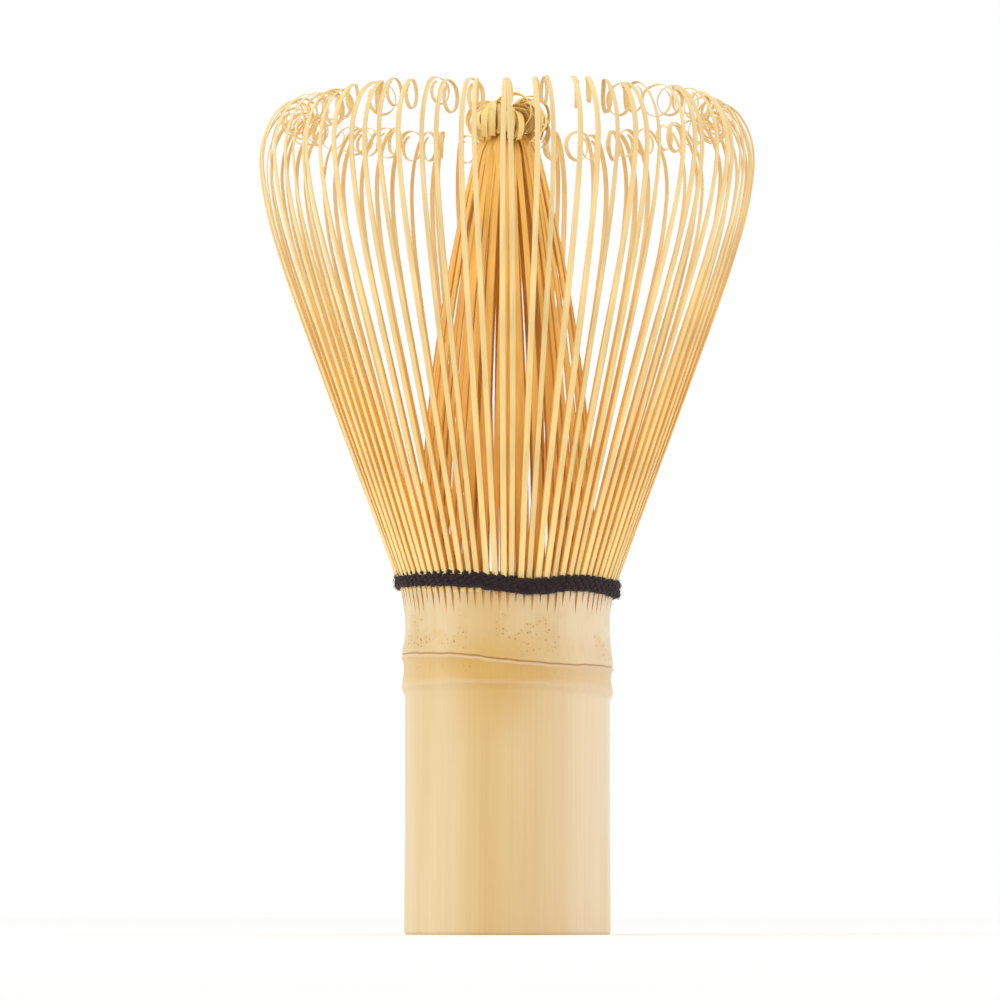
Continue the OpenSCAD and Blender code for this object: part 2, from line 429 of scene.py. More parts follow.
def culm_material(settings):
    """Dried culm: hard straw-coloured skin with long faint streaks, satin where hands polish it."""
    material, tree, shader = new_material("dried_bamboo_culm", 0.38, 0.5)
    place = add(tree, "ShaderNodeTexCoord", out="Object")
    masks = {
        name: add(tree, "ShaderNodeAttribute", out="Fac", attribute_name=name)
        for name in ("node_tan_and_front_shade", "lip_and_right_shade", "scar_and_ridge_shadow", "cut", "speckle", "slit")
    }
    # Broad streaks are about 4 mm wide, and fibres about 0.4 mm; both run the length of the culm.
    broad = stretched_noise(tree, place, (130.0, 130.0, 8.0), 2.0)
    fine = stretched_noise(tree, place, (2400.0, 2400.0, 40.0), 3.0)
    streak = add(tree, RANGE, {"Value": broad, "From Min": 0.35, "From Max": 0.65})
    # Specks of sooty mould have ragged edges, are up to about 0.3 mm across, and gather over the node.
    ragged = add(tree, "ShaderNodeTexNoise", {"Vector": place, "Scale": 6000.0, "Detail": 2.0}, out="Color")
    ragged = fold(tree, VECTOR, "MULTIPLY", ragged, (0.3 * MM, 0.3 * MM, 0.3 * MM))
    spot = fold(tree, VECTOR, "ADD", place, ragged)
    cells = add(tree, "ShaderNodeTexVoronoi", {"Vector": spot, "Scale": 2600.0}, out=None, feature="F1")
    chosen = add(tree, "ShaderNodeSeparateColor", {0: cells.outputs["Color"]})
    size = add(tree, RANGE, {"Value": chosen, "From Min": 0.2, "To Max": 0.5})
    dot = fold(tree, MATH, "SUBTRACT", size, cells.outputs["Distance"])
    dot = add(tree, RANGE, {"Value": dot, "From Max": 0.2, "To Max": 0.7})
    groups = add(tree, "ShaderNodeTexNoise", {"Vector": place, "Scale": 300.0, "Detail": 3.0})
    groups = add(tree, RANGE, {"Value": groups, "From Min": 0.45, "From Max": 0.57})
    stain = fold(tree, MATH, "MULTIPLY", groups, masks["speckle"], 0.3)
    dot = fold(tree, MATH, "MULTIPLY", dot, masks["speckle"], groups)
    # The cut end shows the ends of the fibre bundles as dots 0.3 mm across.
    bundles = add(tree, "ShaderNodeTexVoronoi", {"Vector": place, "Scale": 1900.0}, feature="F1")
    bundles = add(tree, RANGE, {"Value": bundles, "From Min": 0.2, "From Max": 0.45, "To Min": 0.75})
    pith = fold(tree, VECTOR, "MULTIPLY", linear("#E8CFA0"), bundles)
    # Besides the skin's own colours, the node tan also paints shade on the side facing the camera, the lip colour
    # paints shade on the side to its right, and the scar colour paints a shadow line under the lower ridge.
    colour = layered(
        tree, settings.straw, (streak, settings.pale), (masks["node_tan_and_front_shade"], settings.tan), (stain, settings.tan),
        (dot, settings.scar_and_ridge_shadow), (masks["lip_and_right_shade"], settings.lip_and_right_shade), (masks["scar_and_ridge_shadow"], settings.scar_and_ridge_shadow),
        (masks["cut"], pith), (masks["slit"], linear("#E3AE6C")),
    )
    shade = {"Value": fine, "From Min": 0.3, "From Max": 0.7, "To Min": 0.965, "To Max": 1.02}
    colour = fold(tree, VECTOR, "MULTIPLY", colour, add(tree, RANGE, shade))
    dress(tree, shader, colour, fine, 0.18, 0.05 * MM)
    return material


def pith_material():
    """Papery pith: matte, with flecks where the node wall dried."""
    material, tree, shader = new_material("bamboo_pith", 0.85, 0.2)
    mottle(tree, shader, 700.0, 4.0, ((0.35, linear("#CDAE79")), (0.65, linear("#EBDCB8"))), 0.5, 0.1 * MM)
    return material


def cotton_material(settings):
    """Dyed cotton: matte and fibrous, near black, a little lighter where fibres stand up and rub."""
    material, tree, shader = new_material("dyed_cotton", 0.9, 0.2)
    shader.inputs["Sheen Weight"].default_value = 0.12
    shader.inputs["Sheen Roughness"].default_value = 0.5
    # Cotton fibres are far finer than this; 0.12 mm is as fine as shows.
    mottle(tree, shader, 8000.0, 3.0, ((0.42, settings.dark), (0.8, settings.worn)), 0.6, 0.06 * MM)
    return material


def floor_material():
    """Matte white board, with a grain so faint that it looks plain."""
    material, tree, shader = new_material("white_board", 0.8, 0.2)
    mottle(tree, shader, 40.0, 2.0, ((0.0, linear("#FAFAF9")), (1.0, linear("#FEFEFD"))))
    return material


# The culm. Its shape is worked out in millimetres.


# Radius of the comb's inner face, and the radii and height of the ring that the inner row stands on.
INNER_WALL = 12.9
INNER_ROW = (10.7, 11.5)
INNER_ROW_TOP = 44.6
# A slit between two teeth reaches its full width over its run. The bevel is at the cut end.
SLIT_HALF_WIDTH = 0.185
SLIT_DEPTH = 0.9
SLIT_RUN = 1.9
CUT_BEVEL = 0.3


def bell(values, centre, half_width):
    """A smooth bump of height 1."""
    return np.exp(-(((values - centre) / half_width) ** 2))


def facing(azimuths, centre, half_width):
    """A smooth bump of height 1 on one side of the culm."""
    return bell(np.angle(np.exp(1j * (azimuths - centre))), 0.0, half_width)


def smooth_step(values, low, high):
    """0 below low, 1 above high, and smooth between them."""
    share = np.clip((values - low) / (high - low), 0, 1)
    return share * share * (3 - 2 * share)


def plateau(values, foot, rise, fall, end):
    """1 from rise to fall, and smoothly down to 0 at foot and at end."""
    return smooth_step(values, foot, rise) * (1 - smooth_step(values, fall, end))


def ridge_drift(azimuth):
    """How far the two ridges of the node run off level, in mm: [upper, lower]. The upper one has a step."""
    across = np.cos(azimuth)
    shaky = 0.035 * np.sin(9 * azimuth + 1) + 0.025 * np.sin(23 * azimuth) + 0.015 * np.sin(41 * azimuth + 2)
    upper = 0.15 * across**2 - 0.45 - 0.85 * np.tanh((across + 0.12) / 0.5)
    lower = 0.17 - 0.4 * across - 0.62 * across**2
    return upper + shaky, lower + shaky


def culm_radius(height, azimuth, settings):
    """Radius of the outer skin in mm at a level height and an azimuth."""
    lower, upper = settings.lower_ridge / MM, settings.upper_ridge / MM
    proud = settings.bulge / MM - 0.1
    flare_foot = settings.foot / MM - 1.0
    r = settings.radius / MM + 0.1 * smooth_step(-height, -14, 0)
    r = r + 0.14 * plateau(height, lower - 1, lower, upper, upper + 3)
    r = r + proud * bell(height, lower, 1.3 if height > lower else 0.75)
    r = r + proud * (bell(height, upper + 0.2, 1.8) if height > upper else bell(height, upper - 0.1, 0.7))
    # A thin lip stands just under a groove, where the sheath of the culm came away.
    r = r + 0.1 * bell(height, upper - 0.28, 0.2) - 0.13 * bell(height, upper + 0.07, 0.09)
    r = r + 0.95 * (max(height - flare_foot, 0) / 5.5) ** 1.3
    return r + 0.06 * np.cos(2 * azimuth + 1) + 0.04 * np.cos(3 * azimuth + 2)


def skin_masks(height, azimuths, settings):
    """Where the skin is tanned, lipped, scarred and speckled, and where shade is painted on it, at a level height.
    """
    lower, upper = settings.lower_ridge / MM, settings.upper_ridge / MM
    # Painted shade: the skin is painted warmer and darker on the side that faces the camera, and duller on the
    # side to its right.
    front_shade, right_shade = facing(azimuths, -1.62, 0.5), facing(azimuths, -0.7, 0.55)
    return {
        # The node's own tan, plus painted shade that grows towards the side facing the camera.
        "node_tan_and_front_shade": (0.45 + 0.3 * front_shade) * plateau(height, lower - 0.4, lower + 1.2, upper - 0.05, upper + 0.05)
        + (0.2 + 0.15 * front_shade) * plateau(height, upper - 0.05, upper + 0.05, upper + 0.4, upper + 4)
        + 0.3 * front_shade * plateau(height, lower - 8.4, lower - 0.4, lower - 0.4, lower + 1.2)
        + 0.1 + 0.5 * front_shade,
        # The ridge lips are real; the even share on the right side is painted shade.
        "lip_and_right_shade": 0.8 * bell(height, upper - 0.24, 0.18) + 0.3 * bell(height, lower + 0.1, 0.12) + 0.3 * right_shade,
        # The upper line is the sheath scar; the faint line under the lower ridge is a painted shadow.
        "scar_and_ridge_shadow": 0.6 * bell(height, upper + 0.07, 0.08) + 0.14 * bell(height, lower - 0.4, 0.2),
        "speckle": plateau(height, upper + 0.3, upper + 1.3, upper + 4.4, upper + 6)
        + 0.5 * bell(height, upper - 1.4, 0.7),
        "cut": 0.0,
    }


def build_culm(settings, teeth):
    """The handle as one closed skin: the outer skin with its comb, the roots of both rows, and the hollow."""
    rng = np.random.default_rng(11)
    lower, upper = settings.lower_ridge / MM, settings.upper_ridge / MM
    foot, bore = settings.foot / MM, settings.bore / MM
    top = THREAD_BOX[1][2] / MM - 0.3
    # Rings lie close together where the skin changes fast: at the ridges and along the comb.
    heights = np.concatenate([
        [0.0, 0.12, CUT_BEVEL, 1.0], np.linspace(3, lower - 5.9, 10),
        np.arange(lower - 3.4, upper - 0.8, 0.35), np.arange(upper - 0.7, upper + 0.5, 0.07),
        np.arange(upper + 0.6, foot - 1.2, 0.4), np.arange(foot - 1.0, top, 0.2), [top],
    ])
    slit_foot = foot + rng.uniform(-0.9, 0.8, teeth)
    slit_lean = rng.normal(0, 0.05, teeth)
    # Each slit has four columns, its two lips and the two edges of its floor, and its tooth has three.
    owner = np.repeat(np.arange(teeth), 7)
    side = np.tile([-1, -1, 1, 1, 0, 0, 0], teeth)
    deep = np.tile([False, True, True, False, False, False, False], teeth)
    azimuths = (owner + np.tile([0, 0, 0, 0, 0.25, 0.5, 0.75], teeth)) * TAU / teeth
    upper_drift, lower_drift = ridge_drift(azimuths)
    rows, masks = [], []
    for height in heights:
        z = height + upper_drift * bell(height, upper, 2.0) + lower_drift * bell(height, lower, 2.0)
        r = culm_radius(height, azimuths, settings)
        open_by = np.clip(height - slit_foot[owner], 0, None)
        half = 0.004 + SLIT_HALF_WIDTH * np.clip(open_by / SLIT_RUN, 0, 1)
        angle = azimuths + (side * half + abs(side) * slit_lean[owner] * open_by * 0.3) / r
        floor = np.maximum(r - SLIT_DEPTH * smooth_step(open_by, 0, 0.8), INNER_WALL + 0.1)
        r = np.where(deep, np.minimum(floor, r), r) - 0.8 * max(CUT_BEVEL - height, 0)
        rows.append(np.stack([r * np.cos(angle), r * np.sin(angle), z], 1))
        masks.append({**skin_masks(height, azimuths, settings), "slit": deep * smooth_step(open_by, 0, 0.3)})
    # From the comb's top the skin turns down inside, over the inner row's roots, and through the hollow.
    ledge_z, ledge_r = WALL_BOX[0][2] / MM, WALL_BOX[1][0] / MM + 0.05
    root_in, root_out = INNER_ROW
    inside = [
        (INNER_WALL, top), (INNER_WALL, foot + 1.0), (root_out + 0.1, foot + 1.0), (root_out, INNER_ROW_TOP),
        (root_in, INNER_ROW_TOP), (root_in - 0.1, foot - 0.6), (ledge_r, foot - 1.0), (ledge_r, ledge_z),
        (bore, ledge_z), (bore, 16.0), (bore, 0.12), (bore + 0.1, 0.0), (10.6, 0.0), (11.6, 0.0), (12.4, 0.0),
    ]
    for r, z in inside:
        rows.append(np.stack([r * np.cos(azimuths), r * np.sin(azimuths), np.full(len(azimuths), z)], 1))
        masks.append({name: 1.0 if name == "cut" else 0.0 for name in masks[0]})
    columns, count = len(azimuths), len(rows)
    faces = []
    for i in range(count):
        this_ring, next_ring = i * columns, ((i + 1) % count) * columns
        for j in range(columns):
            k = (j + 1) % columns
            faces.append((this_ring + j, this_ring + k, next_ring + k, next_ring + j))
    mesh = bpy.data.meshes.new("culm")
    mesh.from_pydata((np.concatenate(rows) * MM).tolist(), [], faces)
    for name in masks[0]:
        store(mesh, name, "FLOAT", "POINT", [np.broadcast_to(mask[name], columns) for mask in masks])
    mesh.update()
    smoothed(mesh)
    return mesh


class WHISK_OT_culm(bpy.types.Operator):
    """Build the handle, with its node ridges, its comb and its hollow cut end"""

    bl_idname = "whisk.culm"
    bl_label = "Handle"

    def execute(self, context):
        settings = context.scene.whisk_culm
        mesh = build_culm(settings, context.scene.whisk_tines.count)
        handle = new_object("handle_culm", mesh, culm_material(settings))
        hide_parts("handle")
        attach(handle, "culm")
        return {"FINISHED"}


class WHISK_OT_node_wall(bpy.types.Operator):
    """Build the papery wall that closes the culm at its node"""

    bl_idname = "whisk.node_wall"
    bl_label = "Node wall"

    def execute(self, context):
        rng = np.random.default_rng(3)
        spokes, rings = 72, 14
        low, high = WALL_BOX[0][2], WALL_BOX[1][2]
        edge = WALL_BOX[1][0] - 0.02 * MM
        verts, faces = [], []
        wrinkle = rng.uniform(0, TAU, 6)
        for side, base in ((1, high), (-1, low)):
            for i in range(1, rings + 1):
                share = i / rings
                for j in range(spokes):
                    azimuth = TAU * j / spokes
                    ripple = 0.05 * math.sin(14 * share + wrinkle[0])
                    ripple += 0.04 * math.sin(5 * azimuth + wrinkle[1])
                    sag = 0.45 * (1 - share**2) + ripple * (1 - share**4)
                    hollow = 0.35 * (1 - share**2) + 0.5 * ripple * (1 - share)
                    z = base - sag * MM if side > 0 else base + hollow * MM
                    verts.append((edge * share * math.cos(azimuth), edge * share * math.sin(azimuth), z))
        half = rings * spokes
        for i in range(rings - 1):
            for j in range(spokes):
                k = (j + 1) % spokes
                a, b, c, d = i * spokes + j, (i + 1) * spokes + j, (i + 1) * spokes + k, i * spokes + k
                faces.append((a, b, c, d))
                faces.append((half + a, half + d, half + c, half + b))
        for j in range(spokes):
            k = (j + 1) % spokes
            rim = (rings - 1) * spokes
            faces.append((rim + j, half + rim + j, half + rim + k, rim + k))
        faces.append(tuple(range(spokes)))
        faces.append(tuple(half + j for j in reversed(range(spokes))))
        mesh = bpy.data.meshes.new("node_wall_pith")
        mesh.from_pydata(verts, [], faces)
        smoothed(mesh)
        wall = new_object("node_wall_pith", mesh, pith_material())
        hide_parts("node_wall")
        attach(wall, "culm")
        return {"FINISHED"}


# Tines


def walk(path, turn, radius, end_radius, steps):
    """Carries a path of [r, z, heading] on along an arc, which is a spiral where the radii differ."""
    for k in range(steps):
        r, z, heading = path[-1]
        bend = radius + (end_radius - radius) * (k + 0.5) / steps
        chord = 2 * bend * math.sin(abs(turn) / steps / 2)
        middle = heading + turn / steps / 2
        path.append((r + chord * math.sin(middle), z + chord * math.cos(middle), heading + turn / steps))
    return path


def strip_mesh(name, path, curl_start, width, thickness, chamfer, skin_shares):
    """One tine in the XZ plane: a six-sided strip along the path, with attributes that bend and colour it.

    width and thickness are functions of the share of the length, curl_start is the index of the point at
    which the curl begins, and skin_shares says how much skin each of the six sides carries."""
    points = np.array([(r, 0.0, z) for r, z, _ in path])
    heading = np.array([h for _, _, h in path])
    tangent = np.stack([np.sin(heading), np.zeros(len(path)), np.cos(heading)], 1)
    normal = np.stack([np.cos(heading), np.zeros(len(path)), -np.sin(heading)], 1)
    length = np.concatenate([[0.0], np.cumsum(np.linalg.norm(np.diff(points, axis=0), axis=1))])
    share = length / length[-1]
    curl = np.clip((length - length[curl_start]) / (length[-1] - length[curl_start]), 0, 1)
    verts, lay = [], []
    for i in range(len(path)):
        half = width(share[i]) / 2
        deep = thickness(share[i]) / 2
        cut = min(chamfer, deep * 0.8)
        section = [
            (half, -deep), (half, deep - cut), (half - cut, deep), (cut - half, deep), (-half, deep - cut),
            (-half, -deep),
        ]
        for across, through in section:
            verts.append(points[i] + normal[i] * through + np.array([0.0, across, 0.0]))
            lay.append((across / MM, length[i] / MM, through / MM))
    sides = 6
    faces, skin = [], []
    for i in range(len(path) - 1):
        for j in range(sides):
            a, b = i * sides + j, i * sides + (j + 1) % sides
            faces.append((a, a + sides, b + sides, b))
            skin.append(skin_shares[j])
    faces.append(tuple(range(sides)))
    faces.append(tuple((len(path) - 1) * sides + j for j in reversed(range(sides))))
    skin += [0.0, 0.0]
    mesh = bpy.data.meshes.new(name)
    mesh.from_pydata([tuple(v) for v in verts], [], faces)
    for label, kind, values in (
        ("along", "FLOAT", share), ("curl", "FLOAT", curl),
        ("centre", "FLOAT_VECTOR", points), ("tangent", "FLOAT_VECTOR", tangent),
    ):
        store(mesh, label, kind, "POINT", np.repeat(values, sides, axis=0))
    store(mesh, "lay", "FLOAT_VECTOR", "POINT", lay)
    store(mesh, "skin", "FLOAT", "FACE", skin)
    smoothed(mesh, math.radians(30))
    return mesh


# The most by which a tine differs from the plain one. It gets a random share, from -1 to 1, of each.
VARIED = (
    "Width Variation", "Twist", "Curl Variation", "Curl Turn", "Spread", "Sway", "Wobble", "Lift",
    "Root Jitter",
)
ROW_INPUTS = (
    ("Geometry", "NodeSocketGeometry", None),
    ("Count", "NodeSocketInt", 5),
    ("First", "NodeSocketInt", 0),
    ("In Row", "NodeSocketInt", 80),
    ("Seed", "NodeSocketInt", 1),
    *((label, "NodeSocketFloat", 0.0) for label in VARIED),
    ("Layer", "NodeSocketFloat", 0.0),
    ("Swirl", "NodeSocketFloat", 0.0),
    ("Pivot", "NodeSocketVector", (0.0, 0.0, 0.0)),
    ("Material", "NodeSocketMaterial", None),
)


def new_tree(name, inputs):
    """An empty geometry tree with its named inputs, returned with the sockets that those inputs arrive at."""
    tree = bpy.data.node_groups.new(name, "GeometryNodeTree")
    for label, kind, default in inputs:
        socket = tree.interface.new_socket(label, in_out="INPUT", socket_type=kind)
        if default is not None:
            socket.default_value = default
    tree.interface.new_socket("Geometry", in_out="OUTPUT", socket_type="NodeSocketGeometry")
    return tree, add(tree, "NodeGroupInput", out=None).outputs


def numbered_copies(tree, shape, count, label, first=0):
    """Copies of a shape on one spot, and the number that each copy carries."""
    line = add(tree, "GeometryNodeMeshLine", {"Count": count, "Offset": (0.0, 0.0, 0.0)})
    number = fold(tree, MATH, "ADD", add(tree, "GeometryNodeInputIndex"), first)
    marked = add(
        tree, "GeometryNodeStoreNamedAttribute", {"Geometry": line, "Name": label, "Value": number},
        data_type="INT", domain="POINT",
    )
    copies = add(tree, "GeometryNodeInstanceOnPoints", {"Points": marked, "Instance": shape})
    carried = add(tree, "GeometryNodeInputNamedAttribute", {"Name": label}, data_type="INT")
    return add(tree, "GeometryNodeRealizeInstances", {0: copies}), carried


def close_tree(tree, geometry, material):
    """Ends a tree: real faces only, in their material."""
    whole = add(tree, "GeometryNodeRealizeInstances", {0: geometry})
    painted = add(tree, "GeometryNodeSetMaterial", {"Geometry": whole, "Material": material})
    add(tree, "NodeGroupOutput", {0: painted}, out=None)
    return tree


def row_tree():
    """Sets copies of one tine round the axis, each bent, turned and curled a little in its own way."""
    tree, given = new_tree("Tine Row", ROW_INPUTS)
    tines, tine = numbered_copies(tree, given["Geometry"], given["Count"], "tine", given["First"])
    along, curl, centre, tangent = (
        add(tree, "GeometryNodeInputNamedAttribute", {"Name": name}, data_type=kind)
        for name, kind in (
            ("along", "FLOAT"), ("curl", "FLOAT"), ("centre", "FLOAT_VECTOR"), ("tangent", "FLOAT_VECTOR"),
        )
    )
    own = {}
    for k, label in enumerate(VARIED):
        chance = {2: -1.0, 3: 1.0, "ID": tine, "Seed": fold(tree, MATH, "ADD", given["Seed"], k)}
        share = add(tree, "FunctionNodeRandomValue", chance, out=1, data_type="FLOAT")
        own[label] = fold(tree, MATH, "MULTIPLY", given[label], share)

    # The section, wider or narrower, is turned about the line of the tine.
    section = fold(tree, VECTOR, "SUBTRACT", add(tree, "GeometryNodeInputPosition"), centre)
    wide = fold(tree, MATH, "ADD", own["Width Variation"], 1.0)
    scale = add(tree, "ShaderNodeCombineXYZ", {0: 1.0, 1: wide, 2: 1.0})
    section = fold(tree, VECTOR, "MULTIPLY", section, scale)
    twist = fold(tree, MATH, "MULTIPLY", own["Twist"], along)
    section = add(tree, "ShaderNodeVectorRotate", {"Vector": section, "Axis": tangent, "Angle": twist})
    bent = fold(tree, VECTOR, "ADD", centre, section)
    # The curl opens or closes, and turns about an upright line through its start.
    eased = add(tree, RANGE, {"Value": curl, "From Max": 0.35}, interpolation_type="SMOOTHSTEP")
    size = sum_of_products(tree, (own["Curl Variation"], eased), (1.0,))
    turn = fold(tree, MATH, "MULTIPLY", fold(tree, MATH, "ADD", own["Curl Turn"], given["Swirl"]), eased)
    about = fold(tree, VECTOR, "SUBTRACT", bent, given["Pivot"])
    about = add(tree, VECTOR, {0: about, 3: size}, operation="SCALE")
    about = add(tree, "ShaderNodeVectorRotate", {"Vector": about, "Angle": turn}, rotation_type="Z_AXIS")
    bent = fold(tree, VECTOR, "ADD", about, given["Pivot"])
    # The whole tine leans a little to one side, in or out, and ends a little higher or lower.
    square = fold(tree, MATH, "MULTIPLY", along, along)
    arch = add(tree, MATH, {0: fold(tree, MATH, "MULTIPLY", along, math.pi)}, operation="SINE")
    odd = fold(tree, MATH, "MODULO", tine, 2.0)
    outward = sum_of_products(tree, (own["Spread"], square), (given["Layer"], odd, along))
    aside = sum_of_products(tree, (own["Sway"], square), (own["Wobble"], arch))
    lift = fold(tree, MATH, "MULTIPLY", own["Lift"], square)
    shift = add(tree, "ShaderNodeCombineXYZ", {0: outward, 1: aside, 2: lift})
    bent = fold(tree, VECTOR, "ADD", bent, shift)
    # Each tine takes its own slot of the row, in the middle or a little beside it.
    slot = fold(tree, MATH, "ADD", tine, 0.5, own["Root Jitter"])
    azimuth = fold(tree, MATH, "MULTIPLY", fold(tree, MATH, "DIVIDE", slot, given["In Row"]), TAU)
    bent = add(tree, "ShaderNodeVectorRotate", {"Vector": bent, "Angle": azimuth}, rotation_type="Z_AXIS")
    moved = add(tree, "GeometryNodeSetPosition", {"Geometry": tines, "Position": bent})
    tone = add(tree, "FunctionNodeRandomValue", {"ID": tine, "Seed": given["Seed"]}, out=1, data_type="FLOAT")
    toned = add(
        tree, "GeometryNodeStoreNamedAttribute", {"Geometry": moved, "Name": "tone", "Value": tone},
        data_type="FLOAT", domain="POINT",
    )
    return close_tree(tree, toned, given["Material"])


def faded(*stops):
    """A function that runs smoothly through (share, value) stops."""
    shares, values = zip(*stops)
    return lambda share: float(np.interp(share, shares, values))


# The shoulder tightens towards the tip: turn in degrees, share of the shoulder radius, and steps.
SHOULDER = ((4.3, 10.0, 2), (10.0, 3.4, 4), (16.0, 1.0, 4), (25.0, 0.7, 5), (27.0, 0.38, 4))


class WHISK_OT_outer_tines(bpy.types.Operator):
    """Build the outer row: flared tines, pale outside and amber at the sides, with tips that curl inward"""

    bl_idname = "whisk.outer_tines"
    bl_label = "Outer tines"

    def execute(self, context):
        settings = context.scene.whisk_tines
        # The tines start inside the comb, so that no gap opens at their roots when they bend.
        sunk = 2.9 * MM
        lean = settings.lean
        start = (ROOT_RADIUS - sunk * math.tan(lean), ROOT_Z - sunk, lean)
        path = [start]
        length = settings.straight + sunk / math.cos(lean)
        for k in range(1, 13):
            along = length * k / 12
            path.append((start[0] + along * math.sin(lean), start[1] + along * math.cos(lean), lean))
        for turn, share, steps in SHOULDER:
            walk(path, -math.radians(turn), settings.shoulder * share, settings.shoulder * share, steps)
        curl_start = len(path) - 3
        walk(path, -math.radians(370), settings.curl, settings.curl * 0.72, 24)
        w, t = settings.width, settings.thickness
        mesh = strip_mesh(
            "tine", path, curl_start,
            faded((0, w), (0.45, w * 0.98), (0.78, w * 0.84), (1, w * 0.6)),
            faded((0, t), (0.3, t), (0.55, t * 0.62), (0.72, t * 0.3), (0.82, t * 0.2), (1, t * 0.13)),
            0.07 * MM,
            (0.0, 0.75, 1.0, 0.75, 0.0, 0.0),
        )
        pattern = new_object("tine", mesh)
        tree = row_tree()
        material = tine_material(
            "split_bamboo_skin_and_flesh", settings.skin, settings.flesh, settings.deep, settings.tip,
            fade=(0.26, 0.68),
        )
        per_sector = settings.count // len(OUTER_NODES)
        pivot = (path[curl_start][0], 0.0, path[curl_start][1])
        for sector, node in enumerate(OUTER_NODES):
            row = grown(pattern, f"flared_tines_{sector + 1:02d}", tree, {
                "Count": per_sector, "First": sector * per_sector, "In Row": settings.count,
                "Seed": settings.seed, "Root Jitter": 0.1, "Width Variation": 0.1, "Twist": 0.45,
                "Sway": 1.35 * MM, "Spread": 0.7 * MM, "Lift": 0.35 * MM, "Wobble": 0.22 * MM,
                "Curl Variation": 0.16, "Curl Turn": 0.55, "Pivot": pivot, "Material": material,
            })
            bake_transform(row)
            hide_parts(node)
        bpy.data.objects.remove(pattern)
        return {"FINISHED"}


class WHISK_OT_inner_core(bpy.types.Operator):
    """Build the inner row: amber tines gathered at a neck, with tips that curl over and swirl"""

    bl_idname = "whisk.inner_core"
    bl_label = "Inner core"

    def execute(self, context):
        settings = context.scene.whisk_core
        sunk = 1.6 * MM
        root = INNER_ROOT_RADIUS
        path = [(root, ROOT_Z - sunk, 0.0), (root, ROOT_Z, 0.0)]
        lean = 2 * math.atan((root - settings.neck) / settings.rise)
        bow = settings.rise / math.sin(lean)
        walk(path, -lean, bow, bow, 12)
        walk(path, -settings.gather, 4 * MM, 4 * MM, 4)
        curl_start = len(path) - 1
        walk(path, lean + settings.gather + math.radians(150), settings.curl, settings.curl, 13)
        walk(path, math.radians(95), settings.curl, settings.curl * 0.7, 8)
        w, t = settings.width, settings.thickness
        mesh = strip_mesh(
            "inner_tine", path, curl_start,
            faded(
                (0, w), (0.35, w), (0.6, w * 0.9), (0.75, w * 0.85), (0.86, w * 1.3), (0.95, w * 1.3), (1, w)
            ),
            faded((0, t), (0.4, t * 0.9), (0.8, t * 0.45), (1, t * 0.25)),
            0.05 * MM,
            (0.1, 0.5, 0.75, 0.5, 0.1, 0.0),
        )
        pattern = new_object("inner_tine", mesh)
        # The inner tines' skin side faces the outer row and lies inside each curl; its deeper orange is painted
        # warm shade for those hollows.
        material = tine_material(
            "shaved_bamboo_flesh", linear("#F9BE58"), settings.flesh, settings.deep, settings.pale,
            fade=(0.84, 0.93),
        )
        core = grown(pattern, "gathered_core", row_tree(), {
            "Count": settings.count, "First": 0, "In Row": settings.count, "Seed": settings.seed,
            "Root Jitter": 0.2, "Width Variation": 0.15, "Twist": 0.5, "Sway": 0.75 * MM,
            "Spread": 0.35 * MM, "Lift": 1.1 * MM, "Wobble": 0.4 * MM, "Layer": -0.6 * MM,
            "Curl Variation": 0.22, "Curl Turn": 0.95, "Swirl": settings.swirl,
            "Pivot": (path[curl_start][0], 0.0, path[curl_start][1]), "Material": material,
        })
        bpy.data.objects.remove(pattern)
        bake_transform(core)
        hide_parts(*INNER_NODES)
        return {"FINISHED"}


# Thread


# How far a strand goes in and out of the teeth, and its radius as a share of its course's height.
WEAVE_REACH = 0.33 * MM
STRAND_SHARE = 0.68
THREAD_INPUTS = (
    ("Geometry", "NodeSocketGeometry", None),
    ("Courses", "NodeSocketInt", 3),
    ("Teeth", "NodeSocketInt", 80),
    ("Radius", "NodeSocketFloat", 0.014),
    ("Middle", "NodeSocketFloat", 0.045),
    ("Course Height", "NodeSocketFloat", 0.00065),
    ("Weave", "NodeSocketFloat", 0.0004),
    ("Strand Radius", "NodeSocketFloat", 0.0003),
    ("Fuzz", "NodeSocketInt", 2600),
    ("Seed", "NodeSocketInt", 5),
    ("Material", "NodeSocketMaterial", None),
)


# Where the band lies round the whisk: share of a turn from +X, and height, with 0.5 for its middle
# and 1 for 1 mm over it. The first two stops are its ends, where it meets itself.
BAND_DRIFT = (
    (0.0, 0.4), (1.0, 0.4), (0.25, 0.6), (0.5, 1.0), (0.59, 0.92), (0.686, 0.78), (0.73, 0.5), (0.765, 0.33),
    (0.79, 0.26), (0.82, 0.42), (0.865, 0.56), (0.92, 0.46), (0.97, 0.4),
)


def hair_shape(tree):
    """One loose fibre: a bent, three-sided hair that starts at the origin and reaches 0.6 mm to one side."""
    path = add(tree, "GeometryNodeCurvePrimitiveBezierSegment", {
        "Resolution": 4, "Start": (0, 0, 0), "Start Handle": (0, 0, 0.2 * MM),
        "End Handle": (0.3 * MM, 0, 0.3 * MM), "End": (0.6 * MM, 0.1 * MM, 0.1 * MM),
    })
    section = add(tree, "GeometryNodeCurvePrimitiveCircle", {"Resolution": 3, "Radius": 0.012 * MM})
    return add(tree, "GeometryNodeCurveToMesh", {"Curve": path, "Profile Curve": section, "Fill Caps": True})


